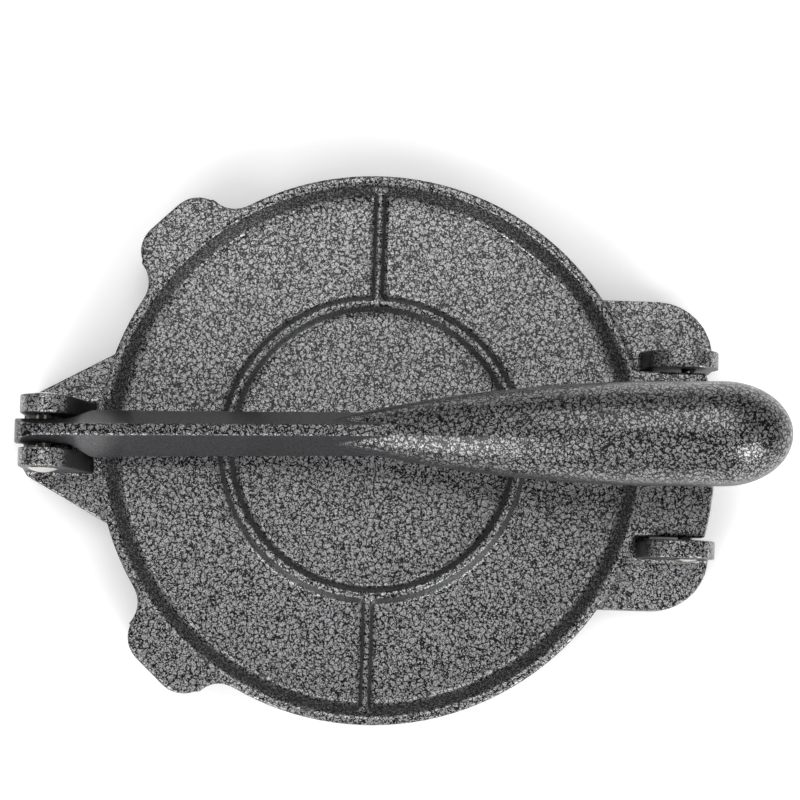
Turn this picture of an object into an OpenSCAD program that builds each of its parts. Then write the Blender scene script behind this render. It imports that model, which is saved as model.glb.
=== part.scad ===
// Cast tortilla press. A round base and a round dished upper plate are hinged
// on the right. A lever on the left presses the upper plate down at its rim and
// ends in a bulb handle. The table is z = 0, +X points along the closed lever
// to the handle, and +Y is left of it. Sizes are in millimetres and degrees.

/* [Plates] */
// Radius of both pressing plates
plate_r = 82.5; // [76:0.5:100]
// Gap between the closed pressing faces
press_gap = 0.4; // [0.3:0.1:2]
// Thickness of the upper plate's floor
floor_t = 3.2; // [3:0.1:5]
// Height of the upper plate's rim above its pressing face
rim_h = 9; // [8.5:0.1:11]
// Width of the rim's flat top
rim_w = 2.6; // [2:0.1:4]
// Width in plan of the sloping wall inside the rim
wall_run = 3.6; // [2.4:0.1:4.4]
// Radius of the hollow fillet between that wall and the floor
rim_fillet = 2; // [1:0.1:2.4]
// Rounding of the rim's outer top edge
rim_edge = 0.7; // [0.5:0.1:1.8]

/* [Stiffening ribs] */
// Radius of the ring rib's crest
ring_r = 44; // [30:0.5:60]
// Height of the ring and the two radial ribs above the floor
rib_h = 4; // [2:0.1:4.4]
// Width of the ring rib's crest
ring_crest_w = 1.9; // [1.6:0.1:3]
// Width of the ring rib at the floor
ring_foot_w = 6.2; // [5:0.1:8]
// Width of a radial rib's crest
spoke_crest_w = 1.6; // [1.4:0.1:3]
// Width of a radial rib at the floor
spoke_foot_w = 4.4; // [4:0.1:7]
// Radius of the flare where a radial rib meets the ring or the rim
rib_flare = 3.6; // [2:0.1:5]

/* [Corner lobes] */
// Angle of each lobe from the lever side
lobe_angle = 46.3; // [38:0.1:51]
// How much further from the lever the right-hand lobe is cast
lobe_skew = 0.6; // [0:0.1:1.5]
// How far a lobe stands out beyond the rim
lobe_reach = 11.5; // [8:0.1:16]
// Half the width of a lobe
lobe_hw = 14.5; // [12:0.1:16]
// Corner radius of a lobe
lobe_corner = 9; // [6:0.1:9.4]
// Radius of the hollow fillet between a lobe and the rim
lobe_fillet = 8.8; // [6:0.1:10]

/* [Base] */
// Height of the base's pressing face above the table
base_h = 13.5; // [12:0.1:18]
// Thickness of the base's web
web_t = 4.5; // [3.5:0.1:6]
// Wall of the skirt round the hollow underside
skirt_t = 3; // [2.5:0.1:4]
// Height of the skirt's lower edge above the table
skirt_lift = 3.5; // [2:0.1:5]
// How far the two side tabs lie below the pressing face
tab_step = 1; // [0.5:0.1:2]
// Radius of a foot where it meets the table
foot_r = 5.5; // [4:0.1:6.5]

/* [Lever clevis] */
// Distance from the rim to the lever pin's axis
pivot_gap = 14.4; // [14:0.1:20]
// Height of the lever pin's axis above the pressing face
pivot_h = 19.8; // [18.5:0.1:24]
// Gap between the two clevis ears
clevis_gap = 10.1; // [8.8:0.1:10.8]
// Thickness of a clevis ear
clevis_ear_t = 5.6; // [4:0.1:7]
// Radius of a clevis ear round the pin
clevis_ear_r = 7.6; // [6:0.1:7.8]
// Slope of the triangular tab's sides from the lever's line
tab_slope = 28.75; // [20:0.25:35]
// How far that tab stands out beyond the ears at its tip
tab_margin = 1.5; // [0:0.1:2.5]

/* [Hinge] */
// Distance from the rim to the hinge pin's axis
hinge_gap = 12; // [11:0.1:15]
// Width of the upper plate's hinge tongue
tongue_w = 49.2; // [36:0.1:60]
// Side play between the tongue and each hinge ear
tongue_play = 1.2; // [1.2:0.1:2.4]
// How far the closed plate's disc sits to the right of the base's middle
plate_offset = 1.1; // [0:0.1:1.2]
// How far the tongue is cast to the left of the disc's middle
tongue_shift = 1; // [0:0.1:1.2]
// How far the tongue reaches beyond the hinge pin's axis
tongue_end = 8.4; // [6:0.1:8.4]
// Thickness of a hinge ear
hinge_ear_t = 5.4; // [4:0.1:7]
// Radius of a hinge ear round the pin
hinge_ear_r = 8.9; // [7.5:0.1:9.5]
// Length of the flat on top of a hinge ear, on the plates' side of the pin
hinge_ear_flat = 3.6; // [1:0.1:4]
// How far the wide tab reaches beyond the rim
tab_reach = 19.8; // [18:0.1:24]
// Half the width of the wide tab
tab_hw = 47; // [45:0.1:56]
// Corner radius of the wide tab
tab_corner = 17; // [10:0.1:18]

/* [Pins] */
// Radius of the lever pin's shank
lever_pin_r = 2.5; // [2:0.05:3]
// Radius of the lever pin's domed heads
lever_head_r = 4.6; // [3.8:0.1:5]
// Height of the lever pin's formed head, on the right
lever_head_h = 1.5; // [0.8:0.1:2.5]
// Radius of the hinge pin's shank
hinge_pin_r = 2.2; // [1.8:0.05:2.6]
// Radius of the hinge pin's domed heads
hinge_head_r = 3.5; // [3:0.1:4.5]
// Height of the hinge pin's formed head, on the right
hinge_head_h = 1.4; // [0.8:0.1:2]
// Height of both pins' riveted-over heads, on the left
rivet_h = 0.9; // [0.8:0.1:1.4]

/* [Lever] */
// Upward slope of the closed lever
lever_rise = 7; // [4:0.5:10]
// Lean of the arm to the left, off square to its bore
lever_lean = 1; // [0:0.1:1.5]
// Thickness of the tang between the clevis ears
tang_t = 7.2; // [6:0.1:7.6]
// Radius of the tang's end round the pin
tang_r = 8.5; // [7.8:0.1:9.5]
// Width of the arm's narrow top strip
strip_w = 3.3; // [2.6:0.1:5]
// Width of the arm at the foot of its sloping flanks
arm_w = 14; // [12:0.1:16]
// Height of the sloping flanks below the strip
flank_h = 15.8; // [14:0.1:17]
// Distance from the pin to the handle's neck
neck_x = 98.9; // [90:0.1:120]
// How much the arm's depth shrinks from the nose to the neck
arm_taper = 1.6; // [0:0.1:3]
// Clearance between the lever's nose and the plate's boss
nose_gap = 0.3; // [0.2:0.05:1]
// Rounding of the pressing nose
nose_r = 4; // [3:0.1:5]

/* [Handle] */
// Largest radius of the bulb handle
bulb_r = 15.1; // [13:0.1:17]
// Length of the handle from its neck to its tip
handle_l = 120.2; // [110:0.2:135]
// Length of the rounded end cap
cap_l = 20; // [15:0.5:24]
// Length of the straight stretch before the cap
belly_l = 15.8; // [8:0.2:24]
// Radius of the handle at its neck
neck_r = 6.8; // [6:0.1:8]

/* [Pressing boss] */
// Half the angle that the boss under the lever spans on the rim
boss_half_angle = 8.5; // [6:0.5:12]
// Height of the boss above the rim
boss_h = 1.5; // [0.8:0.1:2.5]
// How far the boss stands out beyond the rim
boss_out = 1.1; // [0.5:0.1:1.4]

/* [Hidden] */
$fn = 96;
cast_grey = "#6f7072";
pin_steel = "#c9c8c4";
eps = 0.01;
run_clear = 0.08;
pin_seat = 0.03;
cast_edge = 0.8;
arc_steps = 8;
tab_top = base_h - tab_step;
web_low = base_h - web_t;
plate_z = base_h + press_gap;
rim_inner = plate_r - rim_w;
wall_slope = atan((rim_h - floor_t) / wall_run);
// How far the lobes, tongue and ribs run into the rim's sloping wall
rim_bite = 0.9;
rim_root = rim_inner - rim_bite;
// Shape of a rib's section: slimmer radial ribs, hollow foot, rounded crest, draft
spoke_slim = 0.2;
rib_hollow = 0.38;
rib_round = 0.6;
rib_swell = 0.1;
rib_draft = 20;
pivot_x = -(plate_r + pivot_gap);
pivot_z = base_h + pivot_h;
hinge_x = plate_r + hinge_gap;
hinge_z = plate_z + rim_h / 2;
clevis_out = clevis_gap / 2 + clevis_ear_t;
ear_in = tongue_w / 2 + tongue_play;
ear_out = ear_in + hinge_ear_t;
ear_foot = 1.6;
hinge_foot = 2.2;
fillet_gap = 0.4;
tongue_fillet = max(0.2, tongue_play - fillet_gap - abs(plate_offset - tongue_shift));
head_edge = 0.3;
// How far the triangular tab reaches beyond the ears, and its cut corners
tip_ledge = 1.5;
tip_cut = [1.6, 2.6];
tab_tip_x = pivot_x - clevis_ear_r - tip_ledge;
tab_tip_hw = clevis_out + tab_margin;
// Tang: how far its round end sits behind the pin, where it starts to widen
// inside the ears' round, the length of that step and the depth of its underside
tang_over = 0.4;
tang_lap = 0.9;
tang_widening = 6.4;
tang_low = 0.65;
tab_end_x = plate_r + tab_reach;
notch_back = 10;
notch_x = hinge_x - notch_back;
foot_flare = 1.5;
lobe_angles = [180 - lobe_angle, 180 + lobe_angle + lobe_skew];
lobe_foot_r = plate_r + lobe_reach / 3;
foot_inset = [12, 10.5];
tab_foot = [tab_end_x - foot_inset.x, tab_hw - foot_inset.y];
// How far the nose's root reaches back and forward on the arm's underside
nose_root = [2.4, 8.8];
boss_in = 1.8;
boss_top = plate_z + rim_h + boss_h;
// How far inside the plate's edge the nose bears on the boss
nose_in = 0.85;
boss_mid = pivot_gap + nose_in;
handle_drop = -0.5;
cap_x = neck_x + handle_l - cap_l;
swell_end = cap_x - belly_l;
swell_r = (pow(swell_end - neck_x, 2) + pow(bulb_r - neck_r, 2)) / (2 * (bulb_r - neck_r));
tip_x = pivot_x + cap_x * cos(lever_lean) * cos(lever_rise) - handle_drop * sin(lever_rise)
    + sqrt(pow(cap_l * cos(lever_rise), 2) + pow(bulb_r * sin(lever_rise), 2));
left_x = min(tab_tip_x, pivot_x - tang_r - tang_over);
mid_x = (tip_x + left_x) / 2;
mid_y = -plate_offset / 2;

// Points of an arc about c, from angle a0 to a1
function arc(c, r, a0, a1, steps = arc_steps) =
    [for (i = [0:steps]) let (a = a0 + (a1 - a0) * i / steps)
        [c.x + r * cos(a), c.y + r * sin(a)]];

// One side of a rib's section, from its foot to the middle of its crest, as
// distances out from the rib's middle and up from the floor. A steep flank with
// draft runs between a hollow foot and a rounded crest
function rib_side(crest_w, foot_w, h) =
    let (foot = foot_w / 2, crest = crest_w / 2, r = (foot - crest) * rib_hollow,
         edge = crest * rib_round)
    concat(arc([foot, r], r, 270, 180 + rib_draft),
           arc([crest + rib_swell - edge, h - edge], edge, rib_draft, 90));

// Where a line from point p touches a circle of radius r about the origin, on
// the side given by the sign, or p itself where it lies inside the circle
function touch(p, r, side) =
    let (d = norm(p), a = atan2(p.y, p.x) + side * acos(min(1, r / d)))
    d > r ? [r * cos(a), r * sin(a)] : p;

// Points mirrored to the other side, in reverse order
function flip(points) = [for (i = [len(points) - 1:-1:0]) [-points[i].x, points[i].y]];

// Everything below is placed about the base's own axis, and moved so that the
// origin lies under the middle of the whole press
module placed() {
    translate([-mid_x, -mid_y, 0]) children();
}

// A flat profile drawn in X and Z becomes a slab between two values of Y
module slab(y0, y1) {
    translate([0, y1, 0]) rotate([90, 0, 0]) linear_extrude(y1 - y0) children();
}

// A shape of revolution drawn about Z is laid along Y
module along_y() {
    rotate([-90, 0, 0]) children();
}

// Hollow fillets on both sides of an arm of half width hw that leaves the rim
// along +X, as an area in plan
module root_fillets(hw, fillet, r) {
    cy = hw + fillet;
    cx = sqrt(pow(r + fillet, 2) - pow(cy, 2));
    for (side = [-1, 1]) scale([1, side])
        difference() {
            polygon([[0, 0], [cx * r / (r + fillet), cy * r / (r + fillet)], [cx, cy],
                     [cx, 0]]);
            translate([cx, cy]) circle(fillet);
        }
}

// Plan of one lobe along +X. The inset draws the wall inside the same outline
module lobe_plan(inset) {
    end = plate_r + lobe_reach - inset;
    hw = lobe_hw - inset;
    r = lobe_corner - inset;
    for (side = [-1, 1]) translate([end - r, side * (hw - r)]) circle(r);
    translate([0, -hw]) square([end - r, 2 * hw]);
    translate([0, -(hw - r)]) square([end, 2 * (hw - r)]);
    root_fillets(hw, lobe_fillet + inset, plate_r - inset);
}

// Both lobes, at their angles from the lever's side
module both_lobes() {
    for (a = lobe_angles) rotate(a) children();
}

// Plan of the triangular tab that carries the clevis
module clevis_tab_plan() {
    run = pivot_gap + clevis_ear_r + tip_ledge + plate_r / 2;
    widest = tab_tip_hw + (run - tip_cut.x) * tan(tab_slope);
    left = [[tab_tip_x, tab_tip_hw - tip_cut.y], [tab_tip_x + tip_cut.x, tab_tip_hw],
            [tab_tip_x + run, widest]];
    polygon(concat(left, [for (i = [2:-1:0]) [left[i].x, -left[i].y]]));
}

// Plan of the wide tab that carries the hinge ears
module hinge_tab_plan(inset) {
    end = tab_end_x - inset;
    hw = tab_hw - inset;
    r = tab_corner - inset;
    for (side = [-1, 1]) translate([end - r, side * (hw - r)]) circle(r);
    translate([0, -hw]) square([end - r, 2 * hw]);
    translate([0, -(hw - r)]) square([end, 2 * (hw - r)]);
}

// The gap in the wide tab that the tongue's end swings through
module hinge_notch(margin) {
    translate([notch_x - margin, -(ear_in + margin)])
        square([tab_end_x, 2 * (ear_in + margin)]);
}

// Side view of an ear about its pin: a round head on a foot that spreads along
// the tab. The head may have a flat on top, behind the pin
module ear_profile(r, foot_back, foot_front, drop, flat = 0) {
    back = [-foot_back, -drop];
    front = [foot_front, -drop];
    heel = [-flat, 0];
    circle(r);
    if (flat > 0) translate(heel) circle(r);
    polygon(concat([back, heel + touch(back - heel, r, -1)],
                   flat > 0 ? [[-flat, r], [0, r]] : [[0, 0]],
                   [touch(front, r, 1), front]));
}

// Base: a flat pressing disc with two tabs, two lobes, a skirt round its hollow
// underside, four feet and the ears of both joints
module base_plate() {
    foot_places = [for (a = lobe_angles) lobe_foot_r * [cos(a), sin(a)],
                   for (side = [-1, 1]) [tab_foot.x, side * tab_foot.y]];
    color(cast_grey) placed() difference() {
        union() {
            difference() {
                base_body();
                base_hollow();
            }
            base_ribs();
            for (p = foot_places) translate([p.x, p.y, 0]) base_foot();
            for (side = [-1, 1]) translate([pivot_x, 0, pivot_z])
                slab(side > 0 ? clevis_gap / 2 : -clevis_out,
                     side > 0 ? clevis_out : -clevis_gap / 2)
                    ear_profile(clevis_ear_r, clevis_ear_r, pivot_gap - ear_foot,
                                pivot_z - tab_top + eps);
            for (side = [-1, 1]) translate([hinge_x, 0, hinge_z])
                slab(side > 0 ? ear_in : -ear_out, side > 0 ? ear_out : -ear_in)
                    ear_profile(hinge_ear_r, hinge_gap + hinge_foot, hinge_ear_r / 2,
                                hinge_z - tab_top + eps, hinge_ear_flat);
        }
        translate([pivot_x, -clevis_out - eps, pivot_z])
            along_y() cylinder(r = lever_pin_r + pin_seat, h = 2 * (clevis_out + eps));
        translate([hinge_x, -ear_out - eps, hinge_z])
            along_y() cylinder(r = hinge_pin_r + pin_seat, h = 2 * (ear_out + eps));
    }
}

// Solid body of the base: the disc and lobes up to the pressing face, and the
// two tabs a step below it
module base_body() {
    translate([0, 0, skirt_lift]) linear_extrude(tab_top - skirt_lift) difference() {
        union() {
            hinge_tab_plan(0);
            clevis_tab_plan();
        }
        hinge_notch(0);
    }
    rotate_extrude() polygon(concat(
        [[0, skirt_lift], [plate_r, skirt_lift]],
        arc([plate_r - cast_edge, base_h - cast_edge], cast_edge, 0, 90),
        [[0, base_h]]));
    translate([0, 0, skirt_lift]) linear_extrude(base_h - skirt_lift) both_lobes() lobe_plan(0);
}

// The hollow that leaves a web on top and a skirt all round
module base_hollow() {
    translate([0, 0, skirt_lift - eps]) linear_extrude(web_low - skirt_lift + eps)
        difference() {
            union() {
                circle(plate_r - skirt_t);
                both_lobes() lobe_plan(skirt_t);
                hinge_tab_plan(skirt_t);
            }
            hinge_notch(skirt_t);
        }
}

// Ribs in the hollow under the base: a ring and four spokes
module base_ribs() {
    translate([0, 0, skirt_lift]) linear_extrude(web_low - skirt_lift + eps) {
        difference() {
            circle(ring_r + skirt_t / 2);
            circle(ring_r - skirt_t / 2);
        }
        for (a = [0:90:270]) rotate(a + 45)
            translate([ring_r, -skirt_t / 2]) square([plate_r - ring_r - skirt_t / 2, skirt_t]);
    }
}

// One cast foot, from the table up to the web
module base_foot() {
    top = web_low + eps;
    rotate_extrude() polygon(concat([[0, 0]],
        arc([foot_r - cast_edge, cast_edge], cast_edge, 270, 360, 4),
        [[foot_r + foot_flare, top], [0, top]]));
}

// Upper plate: a dish with a raised rim, a ring rib, two radial ribs, two lobes,
// the hinge tongue and the boss that the lever presses on
module upper_plate() {
    color(cast_grey) placed() translate([0, -plate_offset, plate_z]) difference() {
        union() {
            rotate_extrude() dish_profile();
            for (a = [90, 270]) rotate(a) radial_rib();
            linear_extrude(rim_h) both_lobes() difference() {
                lobe_plan(0);
                circle(plate_r - rim_w / 2);
            }
            hinge_tongue();
            rotate([0, 0, 180 - boss_half_angle]) rotate_extrude(angle = 2 * boss_half_angle)
                boss_profile();
        }
        translate([hinge_x, tongue_shift - tongue_w / 2 - eps, hinge_z - plate_z])
            along_y() cylinder(r = hinge_pin_r + run_clear, h = tongue_w + 2 * eps);
    }
}

// Half section of the dish, from its middle out to the rim
module dish_profile() {
    side = rib_side(ring_crest_w, ring_foot_w, rib_h);
    fillet_x = rim_inner - wall_run - rim_fillet * tan(wall_slope / 2);
    polygon(concat(
        [[0, 0]],
        arc([plate_r - cast_edge, cast_edge], cast_edge, 270, 360),
        arc([plate_r - rim_edge, rim_h - rim_edge], rim_edge, 0, 90),
        [[rim_inner, rim_h]],
        arc([fillet_x, floor_t + rim_fillet], rim_fillet, wall_slope - 90, -90),
        [for (p = concat(side, flip(side))) [ring_r + p.x, floor_t + p.y]],
        [[0, floor_t]]));
}

// One radial rib along +X, from the ring to the rim, flared at both ends
module radial_rib() {
    side = rib_side(spoke_crest_w, spoke_foot_w, rib_h - spoke_slim);
    section = concat([[side[0].x, -eps]], side, flip(side), [[-side[0].x, -eps]]);
    translate([ring_r, 0, floor_t]) rotate([90, 0, 90])
        linear_extrude(rim_root - ring_r) polygon(section);
    translate([0, 0, floor_t - eps]) linear_extrude(rib_h - 2 * spoke_slim) {
        flare_plan(ring_r, 1);
        flare_plan(rim_root, -1);
    }
}

// Plan of a flared rib end at radius r, widening towards the ring or the rim
module flare_plan(r, way) {
    hw = spoke_crest_w / 2;
    for (side = [-1, 1]) difference() {
        translate([way > 0 ? r : r - rib_flare, side > 0 ? 0 : -hw - rib_flare])
            square([rib_flare, hw + rib_flare]);
        translate([r + way * rib_flare, side * (hw + rib_flare)]) circle(rib_flare);
    }
}

// The tongue that reaches between the hinge ears, with an end that follows a
// circle about the plates' axis
module hinge_tongue() {
    end_r = hinge_x + tongue_end;
    top_edge = 2;
    intersection() {
        rotate_extrude() polygon(concat(
            [[rim_root, 0]],
            arc([end_r - cast_edge, cast_edge], cast_edge, 270, 360),
            arc([end_r - top_edge, rim_h - top_edge], top_edge, 0, 90),
            [[rim_inner + cast_edge, rim_h], [rim_root, floor_t]]));
        translate([0, tongue_shift - tongue_w / 2, -eps])
            cube([2 * end_r, tongue_w, rim_h + 2 * eps]);
    }
    linear_extrude(rim_h) difference() {
        translate([0, tongue_shift]) root_fillets(tongue_w / 2, tongue_fillet, plate_r);
        circle(plate_r - rim_w / 2);
    }
}

// Section of the raised boss on the rim
module boss_profile() {
    r = 1;
    polygon(concat([[plate_r - boss_in, floor_t], [plate_r + boss_out, floor_t]],
                   arc([plate_r + boss_out - r, rim_h + boss_h - r], r, 0, 90),
                   arc([plate_r - boss_in + r, rim_h + boss_h - r], r, 90, 180)));
}

// Lever: a tang between the ears, an arm with sloping flanks and a narrow top
// strip, a pressing nose below it and the bulb handle, cast in one
module press_lever() {
    color(cast_grey) placed() translate([pivot_x, 0, pivot_z]) rotate([0, -lever_rise, 0])
        difference() {
            rotate([0, 0, lever_lean]) union() {
                intersection() {
                    slab(-arm_w, arm_w) arm_side_view();
                    translate([0, 0, -2 * tang_r - pivot_h]) linear_extrude(4 * tang_r + pivot_h)
                        arm_plan();
                    translate([-2 * tang_r, 0, 0]) rotate([90, 0, 90])
                        linear_extrude(neck_x + 4 * tang_r) arm_section();
                }
                translate([0, 0, -handle_drop]) rotate([0, 90, 0])
                    rotate_extrude() handle_profile();
            }
            translate([0, -arm_w, 0]) along_y() cylinder(r = lever_pin_r + run_clear, h = 2 * arm_w);
        }
}

// Side view of the lever's arm, with the round tang end and the nose
module arm_side_view() {
    end = neck_x + bulb_r;
    low = tang_r - flank_h;
    rest = [boss_mid, boss_top + nose_gap + nose_r - pivot_z];
    nose = [rest.x * cos(lever_rise) + rest.y * sin(lever_rise),
            rest.y * cos(lever_rise) - rest.x * sin(lever_rise)];
    neck_low = -(tang_r * tang_low);
    translate([-tang_over, 0]) circle(tang_r);
    polygon([[-tang_over, tang_r], [end, tang_r], [end, low + arm_taper],
             [nose.x + 2 * nose_r, low], [nose.x, low], [nose.x - 2 * nose_r, neck_low],
             [-tang_over, neck_low]]);
    hull() {
        translate(nose) circle(nose_r, $fn = 32);
        translate([nose.x - nose_root[0], low]) square([nose_root[0] + nose_root[1], 1]);
    }
}

// Plan of the arm: a thin tang that widens in a soft step beyond the ears
module arm_plan() {
    tang = tang_t / 2;
    arm = arm_w / 2;
    start = clevis_ear_r - tang_lap;
    run = tang_widening;
    steps = 12;
    edge = concat([[-2 * tang_r, tang]],
                  [for (i = [0:steps]) [start + run * i / steps,
                                        tang + (arm - tang) * (1 - cos(180 * i / steps)) / 2]],
                  [[neck_x + 2 * tang_r, arm]]);
    polygon(concat(edge, [for (i = [len(edge) - 1:-1:0]) [edge[i].x, -edge[i].y]]));
}

// Section of the arm: a narrow top, flanks that slope out, then straight sides
module arm_section() {
    low = tang_r - flank_h;
    deep = -pivot_h;
    polygon([[-strip_w / 2, tang_r + eps], [strip_w / 2, tang_r + eps], [arm_w / 2, low],
             [arm_w / 2, deep], [-arm_w / 2, deep], [-arm_w / 2, low]]);
}

// Half section of the handle along its length: a long swell that starts inside
// the arm, a short straight belly and an oval cap
module handle_profile() {
    start = neck_x - bulb_r;
    swell = [for (i = [0:24]) let (x = start + (swell_end - start) * i / 24)
        [bulb_r - swell_r + sqrt(pow(swell_r, 2) - pow(swell_end - x, 2)), x]];
    cap = [for (i = [0:16]) let (a = 90 * i / 16) [bulb_r * cos(a), cap_x + cap_l * sin(a)]];
    polygon(concat([[0, start]], swell, cap));
}

// Points of a domed head's section, from its rim to its middle, above its seat.
// The dome stands on a low straight edge
function dome(head_r, head_h) =
    let (h = head_h - head_edge, r = (head_r * head_r + h * h) / (2 * h), half = asin(head_r / r))
    [for (i = [0:arc_steps]) let (a = half * (1 - i / arc_steps))
        [r * sin(a), head_h - r + r * cos(a)]];

// Riveted pin along Y with a formed head on the right and a riveted-over head on
// the left. Its length is the distance between the heads' seats
module riveted_pin(shank_r, length, head_r, head_h) {
    formed = dome(head_r, head_h);
    riveted = dome(head_r, rivet_h);
    end = length / 2;
    along_y() rotate_extrude() polygon(concat(
        [for (i = [len(formed) - 1:-1:0]) [formed[i].x, -end - formed[i].y]],
        [[head_r, -end], [shank_r, -end], [shank_r, end], [head_r, end]],
        [for (p = riveted) [p.x, end + p.y]]));
}

// Pin that the lever swings on, riveted in the clevis ears
module lever_pin() {
    color(pin_steel) placed() translate([pivot_x, 0, pivot_z])
        riveted_pin(lever_pin_r, 2 * clevis_out, lever_head_r, lever_head_h);
}

// Pin that the upper plate opens on, riveted in the hinge ears
module hinge_pin() {
    color(pin_steel) placed() translate([hinge_x, 0, hinge_z])
        riveted_pin(hinge_pin_r, 2 * ear_out, hinge_head_r, hinge_head_h);
}

base_plate();
upper_plate();
press_lever();
lever_pin();
hinge_pin();
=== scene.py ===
# A cast tortilla press, closed, seen from above. Two round plates are hinged on
# the right, and a lever pinned on the left presses them together. Lengths are in
# metres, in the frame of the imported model: +X to the handle, +Y left of it.
import math

import bmesh
import bpy
from mathutils import Matrix, Quaternion, Vector


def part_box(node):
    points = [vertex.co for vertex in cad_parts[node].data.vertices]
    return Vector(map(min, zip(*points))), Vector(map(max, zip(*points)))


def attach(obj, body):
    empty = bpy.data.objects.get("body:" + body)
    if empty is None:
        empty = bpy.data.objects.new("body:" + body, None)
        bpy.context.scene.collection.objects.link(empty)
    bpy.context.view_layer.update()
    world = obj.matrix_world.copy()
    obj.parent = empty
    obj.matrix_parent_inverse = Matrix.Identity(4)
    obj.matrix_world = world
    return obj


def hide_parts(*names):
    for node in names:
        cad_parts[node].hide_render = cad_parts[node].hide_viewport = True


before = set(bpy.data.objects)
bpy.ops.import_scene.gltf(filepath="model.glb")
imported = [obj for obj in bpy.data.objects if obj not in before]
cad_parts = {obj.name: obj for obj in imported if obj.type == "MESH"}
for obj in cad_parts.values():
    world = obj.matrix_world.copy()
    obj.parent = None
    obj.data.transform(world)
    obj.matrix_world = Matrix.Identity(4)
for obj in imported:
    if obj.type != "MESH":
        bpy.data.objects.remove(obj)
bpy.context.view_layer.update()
scene = bpy.context.scene
MM = 0.001


# Camera
# The press is seen from almost straight above, leaning a little towards the side
# that faces the viewer, through a long lens and turned slightly on the picture.
PICTURE_PX = 800
SENSOR_MM = 36.0
PX_PER_MM_AT_RIM = 3.337
CAMERA_DISTANCE = 0.826
CAMERA_ELEVATION = math.radians(84.71)
CAMERA_ROLL = math.radians(1.79)
LOOKED_AT_X = 0.4 * MM
LOOKED_AT_Y = 14.1 * MM
BOSS_ABOVE_RIM = 1.5 * MM

rim_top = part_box("upper_plate")[1].z - BOSS_ABOVE_RIM
looked_at = Vector((LOOKED_AT_X, LOOKED_AT_Y, rim_top))
towards_camera = Vector((0, -math.cos(CAMERA_ELEVATION), math.sin(CAMERA_ELEVATION)))
roll = Quaternion((0, 0, 1), CAMERA_ROLL)

camera_data = bpy.data.cameras.new("camera")
camera_data.sensor_width = SENSOR_MM
camera_data.lens = PX_PER_MM_AT_RIM * CAMERA_DISTANCE / MM * SENSOR_MM / PICTURE_PX
camera = bpy.data.objects.new("camera", camera_data)
camera.location = looked_at + towards_camera * CAMERA_DISTANCE
camera.rotation_mode = "QUATERNION"
camera.rotation_quaternion = towards_camera.to_track_quat("Z", "Y") @ roll
scene.collection.objects.link(camera)
scene.camera = camera


# Table and studio light
# A matt white table under a pale tent. A broad, weak softbox hangs behind the press
# and two bright ones stand in front. The left one gives the streak on the handle's
# neck, and the right one the light on its tip.
scene.view_settings.view_transform = "Standard"


def linear(hex_colour):
    """A colour written as sRGB hex, as the linear values that Blender takes."""
    channels = [int(hex_colour[i:i + 2], 16) / 255 for i in (1, 3, 5)]
    return [c / 12.92 if c <= 0.04045 else ((c + 0.055) / 1.055) ** 2.4 for c in channels] + [1.0]


def add_node(tree, kind, settings=None, **links):
    """Adds one node. Each link names an input, or gives its number after an underscore, and is
    a socket of another node or else a plain value."""
    node = tree.nodes.new(kind)
    for name, value in (settings or {}).items():
        setattr(node, name, value)
    for name, value in links.items():
        socket = node.inputs[int(name[1:]) if name[1:].isdigit() else name.replace("_", " ")]
        if isinstance(value, bpy.types.NodeSocket):
            tree.links.new(value, socket)
        else:
            socket.default_value = value
    return node


def new_material(name):
    """An empty node material, its tree and its output node."""
    material = bpy.data.materials.new(name)
    material.use_nodes = True
    tree = material.node_tree
    tree.nodes.clear()
    return material, tree, tree.nodes.new("ShaderNodeOutputMaterial")


# White laminate is matt and even. Where the camera or a glossy surface sees it, it is
# lifted to white, and less so close to the press, which keeps its soft shadow.
TABLE_SIDE = 4.0
TABLE_WHITE = "#f2f2f2"
LIFT_WHITE = "#ffffff"
TABLE_LIFT = 0.55
SHADE_REACH = 0.05
SHADE_SAMPLES = 8

material, tree, output = new_material("white_table")
path = add_node(tree, "ShaderNodeLightPath")
diffuse = add_node(tree, "ShaderNodeBsdfDiffuse", Color=linear(TABLE_WHITE))
openness = add_node(tree, "ShaderNodeAmbientOcclusion", {"samples": SHADE_SAMPLES},
                    Distance=SHADE_REACH)
open_lift = add_node(tree, "ShaderNodeMath", {"operation": "MULTIPLY"},
                     _0=openness.outputs["AO"], _1=TABLE_LIFT)
lift = add_node(tree, "ShaderNodeEmission", Color=linear(LIFT_WHITE),
                Strength=open_lift.outputs[0])
seen = add_node(tree, "ShaderNodeMath", {"operation": "MAXIMUM"},
                _0=path.outputs["Is Camera Ray"], _1=path.outputs["Is Glossy Ray"])
both = add_node(tree, "ShaderNodeAddShader", _0=diffuse.outputs[0], _1=lift.outputs[0])
chosen = add_node(tree, "ShaderNodeMixShader",
                  _0=seen.outputs[0], _1=diffuse.outputs[0], _2=both.outputs[0])
tree.links.new(chosen.outputs[0], output.inputs["Surface"])

half = TABLE_SIDE / 2
corners = [(-half, -half, 0), (half, -half, 0), (half, half, 0), (-half, half, 0)]
table_mesh = bpy.data.meshes.new("table")
table_mesh.from_pydata(corners, [], [(0, 1, 2, 3)])
table_mesh.materials.append(material)
table = bpy.data.objects.new("table", table_mesh)
scene.collection.objects.link(table)

TENT_GREY = "#b8b8b8"
TENT_STRENGTH = 0.30

world = bpy.data.worlds.new("tent")
world.use_nodes = True
scene.world = world
tent = world.node_tree.nodes["Background"]
tent.inputs["Color"].default_value = linear(TENT_GREY)
tent.inputs["Strength"].default_value = TENT_STRENGTH


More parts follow.
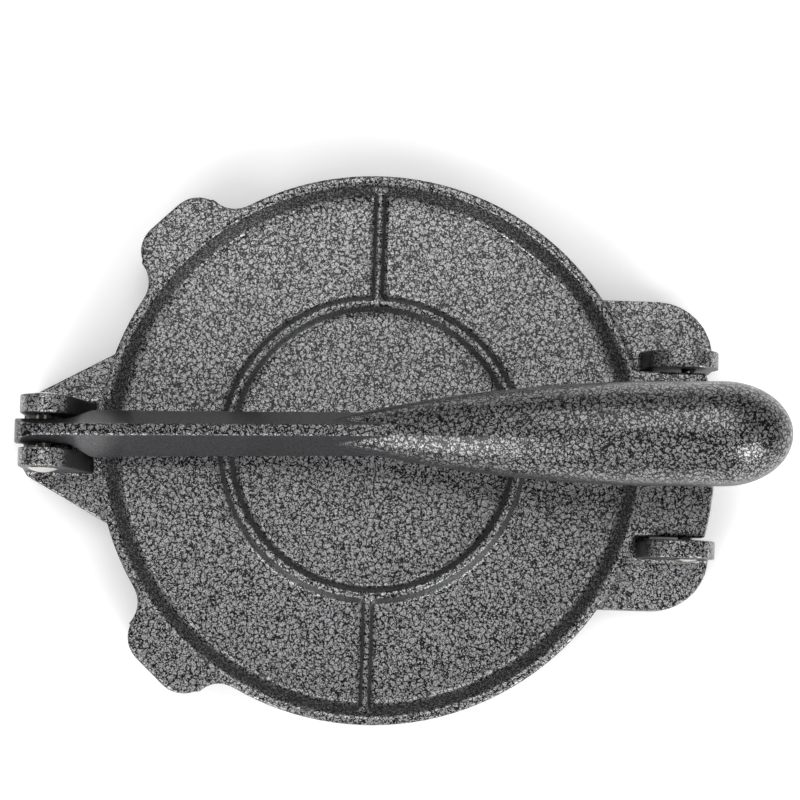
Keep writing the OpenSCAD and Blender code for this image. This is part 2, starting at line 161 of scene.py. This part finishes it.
def softbox(name, start, end, width, watts):
    """A soft strip of light that runs from one point to another and faces the press."""
    start = Vector(start)
    end = Vector(end)
    along = (end - start).normalized()
    centre = (start + end) / 2
    away = (centre - along * centre.dot(along)).normalized()
    data = bpy.data.lights.new(name, "AREA")
    data.shape = "RECTANGLE"
    data.size = width
    data.size_y = (end - start).length
    data.energy = watts
    lamp = bpy.data.objects.new(name, data)
    lamp.location = centre
    lamp.rotation_mode = "QUATERNION"
    facing = Matrix((along.cross(away), along, away)).transposed()
    lamp.rotation_quaternion = facing.to_quaternion()
    scene.collection.objects.link(lamp)


# The long sides run between the directions that the two ends of a highlight mirror.
softbox("overhead_box", (0, 0.115, 1.40), (0, 1.06, 0.92), width=0.75, watts=6.4)
softbox("left_box", (-0.474, -0.289, 1.005), (-0.378, -1.03, 0.343), width=0.24, watts=5.3)
softbox("right_box", (0.49, -0.54, 0.96), (0.74, -0.88, 0.30), width=0.62, watts=8.4)


# Base casting
# The lower plate, with its tabs, ears, skirt and feet, is one sand casting with
# soft edges, stoved in a grey hammertone enamel that draws into dark veins.
PLATE_VOXEL = 0.5 * MM
PLATE_SMOOTHING = 2
SMOOTHING_SHARE = 0.5
WELD_REACH = 1e-7


def casting(node, body, voxel, smoothing):
    """A copy of a node's mesh with the soft edges of a casting, which stands for the node."""
    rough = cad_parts[node].data.copy()
    welded = bmesh.new()
    welded.from_mesh(rough)
    bmesh.ops.remove_doubles(welded, verts=welded.verts, dist=WELD_REACH)
    welded.to_mesh(rough)
    welded.free()
    maker = bpy.data.objects.new(node + "_maker", rough)
    scene.collection.objects.link(maker)
    remesh = maker.modifiers.new("skin", "REMESH")
    remesh.mode = "VOXEL"
    remesh.voxel_size = voxel
    remesh.use_smooth_shade = True
    smooth = maker.modifiers.new("soft", "SMOOTH")
    smooth.factor = SMOOTHING_SHARE
    smooth.iterations = smoothing
    evaluated = maker.evaluated_get(bpy.context.evaluated_depsgraph_get())
    soft = bpy.data.meshes.new_from_object(evaluated)
    bpy.data.objects.remove(maker)
    piece = bpy.data.objects.new(node + "_casting", soft)
    scene.collection.objects.link(piece)
    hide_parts(node)
    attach(piece, body)
    return piece


def finish_with(piece, material):
    """Gives a piece one material, in place of what it came with."""
    piece.data.materials.clear()
    piece.data.materials.append(material)


# Hammertone enamel is sprayed and stoved. Its aluminium flake gathers in pale
# cells, and the clear resin between them draws into short dark veins. It pools
# so on tops and gentle curves, and runs down to a plain coat on steep walls,
# whose dark grey is partly painted shade for those steep faces.
VEIN_SPACING = 1.65 * MM
DRIFT_SIZE = VEIN_SPACING / 1.9
DRIFT_PUSH = VEIN_SPACING * 0.9
BLOT_SIZE = VEIN_SPACING / 3.4
HAIR_SIZE = VEIN_SPACING / 2.1
FLAKE_SIZE = VEIN_SPACING / 6.0
SPECK_SIZE = VEIN_SPACING / 3.9
LATTICE_TURN = (0.55, 0.62, 0.40)
NOISE_MEAN = 0.5

# How fast the enamel's skin rises from the edge of a cell and from a hair, how much the
# blots lift it, and how softly a vein ends.
CELL_RISE = 1.6
BLOT_DEPTH = 0.6
HAIR_STEEPNESS = 6.0
HAIR_FLOOR = 0.24
VEIN_SOFTNESS = 0.10


def lattice_veins(tree, turned, blots, cover):
    """Where the veins lie, 1 in a vein and 0 in a cell. They follow the edges of drifting
    cells, which blots make ragged, and hairs join them. A higher cover makes them wider."""
    drift = add_node(tree, "ShaderNodeTexNoise", Vector=turned, Scale=1 / DRIFT_SIZE,
                     Detail=1.0, Roughness=0.5)
    centred = add_node(tree, "ShaderNodeVectorMath", {"operation": "SUBTRACT"},
                       _0=drift.outputs["Color"], _1=(NOISE_MEAN,) * 3)
    pushed = add_node(tree, "ShaderNodeVectorMath", {"operation": "MULTIPLY_ADD"},
                      _0=centred.outputs[0], _1=(DRIFT_PUSH,) * 3, _2=turned)
    cells = add_node(tree, "ShaderNodeTexVoronoi", {"feature": "DISTANCE_TO_EDGE"},
                     Vector=pushed.outputs[0], Scale=1 / VEIN_SPACING, Randomness=1.0)
    spread = add_node(tree, "ShaderNodeMath", {"operation": "MULTIPLY"},
                      _0=cells.outputs["Distance"], _1=CELL_RISE)
    gaps = add_node(tree, "ShaderNodeMath", {"operation": "MULTIPLY_ADD"},
                    _0=blots, _1=BLOT_DEPTH, _2=spread.outputs[0])
    hair = add_node(tree, "ShaderNodeTexNoise", Vector=turned, Scale=1 / HAIR_SIZE, Detail=1.0)
    off_hair = add_node(tree, "ShaderNodeMath", {"operation": "SUBTRACT"},
                        _0=hair.outputs[0], _1=NOISE_MEAN)
    hair_side = add_node(tree, "ShaderNodeMath", {"operation": "ABSOLUTE"},
                         _0=off_hair.outputs[0])
    hair_line = add_node(tree, "ShaderNodeMath", {"operation": "MULTIPLY_ADD"},
                         _0=hair_side.outputs[0], _1=HAIR_STEEPNESS, _2=HAIR_FLOOR)
    height = add_node(tree, "ShaderNodeMath", {"operation": "MINIMUM"},
                      _0=gaps.outputs[0], _1=hair_line.outputs[0])
    vein = add_node(tree, "ShaderNodeMapRange", {"interpolation_type": "SMOOTHSTEP"},
                    Value=height.outputs[0], From_Min=cover - VEIN_SOFTNESS, From_Max=cover,
                    To_Min=1.0, To_Max=0.0)
    return vein.outputs[0]


# How ragged the blots make the line where the veins run out.
RAGGEDNESS = 0.9


def pooled_share(tree, place, blots, level, bare_slope, full_slope, neck):
    """Where the enamel has pooled: 0 on a wall whose upright normal is under bare_slope, and 1
    over full_slope. A neck gives two places along X, and how much flatter than that the arm
    on their left has to be."""
    free = level
    if neck:
        neck_start, neck_end, arm_hold = neck
        spot = add_node(tree, "ShaderNodeSeparateXYZ", Vector=place.outputs["Object"])
        held = add_node(tree, "ShaderNodeMapRange", {"interpolation_type": "SMOOTHSTEP"},
                        Value=spot.outputs["X"], From_Min=neck_start, From_Max=neck_end,
                        To_Min=arm_hold, To_Max=0.0)
        free = add_node(tree, "ShaderNodeMath", {"operation": "SUBTRACT"},
                        _0=level, _1=held.outputs[0]).outputs[0]
    ragged = add_node(tree, "ShaderNodeMath", {"operation": "MULTIPLY_ADD"},
                      _0=blots, _1=RAGGEDNESS, _2=free)
    middle = RAGGEDNESS * NOISE_MEAN
    pooled = add_node(tree, "ShaderNodeMapRange", {"interpolation_type": "SMOOTHSTEP"},
                      Value=ragged.outputs[0], From_Min=bare_slope + middle,
                      From_Max=full_slope + middle)
    return pooled.outputs[0]


# The plain wall coat's dark grey is partly painted shade for steep faces.
WALL_COAT_AND_SHADE_GREY = "#4b4b4d"
SPECK_LOW = 0.3
SPECK_HIGH = 0.7
SPECK_DARKEST = 0.5
SPECK_PALEST = 1.5
# Heights of the upright normal between which a hint of the veins comes in.
HINT_STARTS = 0.40
HINT_ENDS = 0.56
HINT_DARKNESS = 0.6


def wall_coat_and_shade(tree, turned, vein, level):
    """The colour of the plain coat on a wall, finely specked, with a hint of veins where
    the wall leans back. Its dark grey is partly painted shade for steep faces."""
    speck = add_node(tree, "ShaderNodeTexNoise", Vector=turned, Scale=1 / SPECK_SIZE, Detail=0.0)
    grain = add_node(tree, "ShaderNodeMapRange", Value=speck.outputs[0], From_Min=SPECK_LOW,
                     From_Max=SPECK_HIGH, To_Min=SPECK_DARKEST, To_Max=SPECK_PALEST)
    hint = add_node(tree, "ShaderNodeMapRange", Value=level, From_Min=HINT_STARTS,
                    From_Max=HINT_ENDS, To_Min=0.0, To_Max=HINT_DARKNESS)
    thin = add_node(tree, "ShaderNodeMath", {"operation": "MULTIPLY"},
                    _0=vein, _1=hint.outputs[0])
    left_over = add_node(tree, "ShaderNodeMath", {"operation": "SUBTRACT"},
                         _0=1.0, _1=thin.outputs[0])
    shade = add_node(tree, "ShaderNodeMath", {"operation": "MULTIPLY"},
                     _0=grain.outputs[0], _1=left_over.outputs[0])
    wall = add_node(tree, "ShaderNodeVectorMath", {"operation": "SCALE"},
                    _0=linear(WALL_COAT_AND_SHADE_GREY)[:3], Scale=shade.outputs[0])
    return wall.outputs[0]


CELL_SHADE = "#707072"
VEIN_GREY = "#050506"
FLAKE_LOW = 0.34
FLAKE_HIGH = 0.66
DULL_ROUGHNESS = 0.42
FLAKE_ROUGHNESS = 0.34
FLAKE_METAL = 0.55
FLAKE_SPECULAR = 0.1
VEIN_DEPTH = 0.05 * MM
VEIN_RELIEF = 0.4
# Heights of the upright normal between which the resin over a wall comes in.
GLOSS_STARTS = 0.15
GLOSS_ENDS = 0.45
POOLED_GLOSS = 0.9
VEIN_GLOSS_CHANGE = -0.5
RESIN_ROUGHNESS = 0.22
RESIN_IOR = 1.65


def hammertone(name, cell_grey, cover, bare_slope, full_slope, wall_gloss, neck=None):
    """Stoved hammertone enamel: veined where it has pooled, a plain coat painted dark as
    painted shade on steep walls, and clear resin over both, thinner in the veins and down a wall."""
    material, tree, output = new_material(name)
    place = add_node(tree, "ShaderNodeTexCoord")
    mapping = add_node(tree, "ShaderNodeMapping", Vector=place.outputs["Object"],
                       Rotation=LATTICE_TURN)
    turned = mapping.outputs[0]
    blots = add_node(tree, "ShaderNodeTexNoise", Vector=turned, Scale=1 / BLOT_SIZE,
                     Detail=1.0).outputs[0]
    upright = add_node(tree, "ShaderNodeSeparateXYZ", Vector=place.outputs["Normal"])
    level = add_node(tree, "ShaderNodeMath", {"operation": "ABSOLUTE"},
                     _0=upright.outputs["Z"]).outputs[0]
    vein = lattice_veins(tree, turned, blots, cover)
    pooled = pooled_share(tree, place, blots, level, bare_slope, full_slope, neck)

    fine = add_node(tree, "ShaderNodeTexNoise", Vector=turned, Scale=1 / FLAKE_SIZE, Detail=1.0)
    flake = add_node(tree, "ShaderNodeMapRange", Value=fine.outputs[0], From_Min=FLAKE_LOW,
                     From_Max=FLAKE_HIGH)
    cell_colour = add_node(tree, "ShaderNodeMix", {"data_type": "RGBA"}, _0=flake.outputs[0],
                           _6=linear(CELL_SHADE), _7=linear(cell_grey))
    veined = add_node(tree, "ShaderNodeMix", {"data_type": "RGBA"}, _0=vein,
                      _6=cell_colour.outputs[2], _7=linear(VEIN_GREY))
    colour = add_node(tree, "ShaderNodeMix", {"data_type": "RGBA"}, _0=pooled,
                      _6=wall_coat_and_shade(tree, turned, vein, level), _7=veined.outputs[2])

    depth = add_node(tree, "ShaderNodeMath", {"operation": "MULTIPLY"}, _0=vein, _1=pooled)
    relief = add_node(tree, "ShaderNodeBump", {"invert": True}, Height=depth.outputs[0],
                      Strength=VEIN_RELIEF, Distance=VEIN_DEPTH)
    wall_glaze = add_node(tree, "ShaderNodeMapRange", Value=level, From_Min=GLOSS_STARTS,
                          From_Max=GLOSS_ENDS, To_Min=0.0, To_Max=wall_gloss)
    glaze = add_node(tree, "ShaderNodeMapRange", Value=pooled, To_Min=wall_glaze.outputs[0],
                     To_Max=POOLED_GLOSS)
    clear = add_node(tree, "ShaderNodeMath", {"operation": "MULTIPLY_ADD"},
                     _0=depth.outputs[0], _1=VEIN_GLOSS_CHANGE, _2=glaze.outputs[0])
    satin = add_node(tree, "ShaderNodeMapRange", Value=fine.outputs[0], From_Min=FLAKE_LOW,
                     From_Max=FLAKE_HIGH, To_Min=DULL_ROUGHNESS, To_Max=FLAKE_ROUGHNESS)
    shader = add_node(tree, "ShaderNodeBsdfPrincipled", Base_Color=colour.outputs[2],
                      Metallic=FLAKE_METAL, Roughness=satin.outputs[0],
                      Specular_IOR_Level=FLAKE_SPECULAR, Normal=relief.outputs[0],
                      Coat_Weight=clear.outputs[0], Coat_Roughness=RESIN_ROUGHNESS,
                      Coat_IOR=RESIN_IOR, Coat_Normal=relief.outputs[0])
    tree.links.new(shader.outputs[0], output.inputs["Surface"])
    return material


# The base's cells are paler and its veins fewer than the upper plate's, as painted light that
# offsets the shade the upper plate casts on the base's tabs.
BASE_CELL_GREY_PAINTED_LIGHT = "#d0d0d1"
base = casting("base_plate", "base", PLATE_VOXEL, PLATE_SMOOTHING)
finish_with(base, hammertone("hammertone_enamel_base", BASE_CELL_GREY_PAINTED_LIGHT, cover=0.475,
                             bare_slope=0.50, full_slope=0.60, wall_gloss=1.0))


# Upper plate
# The dished disc with its rim, ring and ribs, the two corner lobes and the hinge
# tongue, sand-cast in one and stoved in the same enamel. Where its walls are steep
# the enamel has run thin and is painted dark as painted shade, so the foot of each
# wall reads as a plain dark line.
PLATE_CELL_GREY = "#c0c0c1"
plate = casting("upper_plate", "plate", PLATE_VOXEL, PLATE_SMOOTHING)
finish_with(plate, hammertone("hammertone_enamel_plate", PLATE_CELL_GREY, cover=0.49,
                              bare_slope=0.50, full_slope=0.60, wall_gloss=1.0))


# Lever and handle
# Tang, arm and bulb handle are one casting, fettled smoother than the plates. Its
# veins cover the arm's narrow top and the whole handle, nearly to its outline, and
# the arm's steep flanks carry only the plain coat, painted dark as painted shade.
LEVER_VOXEL = 0.4 * MM
LEVER_SMOOTHING = 2
LEVER_CELL_GREY = "#a4a4a5"
NECK_START = -4 * MM
NECK_END = 12 * MM
ARM_HOLD = 0.35
lever = casting("press_lever", "lever", LEVER_VOXEL, LEVER_SMOOTHING)
finish_with(lever, hammertone("hammertone_enamel_lever", LEVER_CELL_GREY, cover=0.52,
                              bare_slope=0.22, full_slope=0.34, wall_gloss=0.4,
                              neck=(NECK_START, NECK_END, ARM_HOLD)))


# Pins
# Two zinc-plated steel pins, pushed through the ears and riveted over into low
# domed heads. The heads are bright, and the shanks between the ears are painted
# dark as painted shade.
HEAD_ZINC = "#c8c5bf"
# The shank's dark grey is painted shade for the gap between the ears, faded in over a short
# reach.
SHANK_PAINTED_SHADE = "#5a5751"
HEAD_DEPTH = 1.5 * MM
SHANK_SHADE_FADE = 1.5 * MM

SCUFF_SIZE = 0.6 * MM
SCUFF_LOW = 0.3
SCUFF_HIGH = 0.7
SCUFF_DARKEST = 0.82
CLEAN_ROUGHNESS = 0.24
SCUFF_ROUGHNESS = 0.36
SHANK_ROUGHNESS = 0.12
SCUFF_DEPTH = 0.03 * MM
SCUFF_RELIEF = 0.2


def plated_steel(pin_name):
    """Zinc plating that is bright and faintly scuffed on the heads outside the ears, and on the
    shank painted dark and kept smooth, as painted shade. The scuffs are drawn coarser than real
    ones, to show."""
    material, tree, output = new_material("plated_steel_" + pin_name)
    low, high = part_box(pin_name)
    middle = (low.y + high.y) / 2
    half_grip = (high.y - low.y) / 2 - HEAD_DEPTH
    place = add_node(tree, "ShaderNodeTexCoord")
    along = add_node(tree, "ShaderNodeSeparateXYZ", Vector=place.outputs["Object"])
    off = add_node(tree, "ShaderNodeMath", {"operation": "SUBTRACT"},
                   _0=along.outputs["Y"], _1=middle)
    reach = add_node(tree, "ShaderNodeMath", {"operation": "ABSOLUTE"}, _0=off.outputs[0])
    outside = add_node(tree, "ShaderNodeMapRange", Value=reach.outputs[0],
                       From_Min=half_grip - SHANK_SHADE_FADE, From_Max=half_grip)
    scuffs = add_node(tree, "ShaderNodeTexNoise", Vector=place.outputs["Object"],
                      Scale=1 / SCUFF_SIZE, Detail=3.0)
    dulled = add_node(tree, "ShaderNodeMapRange", Value=scuffs.outputs[0], From_Min=SCUFF_LOW,
                      From_Max=SCUFF_HIGH, To_Min=SCUFF_DARKEST, To_Max=1.0)
    zinc = add_node(tree, "ShaderNodeVectorMath", {"operation": "SCALE"},
                    _0=linear(HEAD_ZINC)[:3], Scale=dulled.outputs[0])
    # Inside the ears the colour is the shank's painted shade.
    colour = add_node(tree, "ShaderNodeMix", {"data_type": "RGBA"}, _0=outside.outputs[0],
                      _6=linear(SHANK_PAINTED_SHADE), _7=zinc.outputs[0])
    roughened = add_node(tree, "ShaderNodeMapRange", Value=scuffs.outputs[0],
                         From_Min=SCUFF_LOW, From_Max=SCUFF_HIGH, To_Min=CLEAN_ROUGHNESS,
                         To_Max=SCUFF_ROUGHNESS)
    rough = add_node(tree, "ShaderNodeMapRange", Value=outside.outputs[0],
                     To_Min=SHANK_ROUGHNESS, To_Max=roughened.outputs[0])
    scuffed = add_node(tree, "ShaderNodeBump", Height=scuffs.outputs[0], Strength=SCUFF_RELIEF,
                       Distance=SCUFF_DEPTH)
    shader = add_node(tree, "ShaderNodeBsdfPrincipled", Base_Color=colour.outputs[2],
                      Metallic=1.0, Roughness=rough.outputs[0], Normal=scuffed.outputs[0])
    tree.links.new(shader.outputs[0], output.inputs["Surface"])
    return material


for pin_name in ("lever_pin", "hinge_pin"):
    finish_with(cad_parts[pin_name], plated_steel(pin_name))
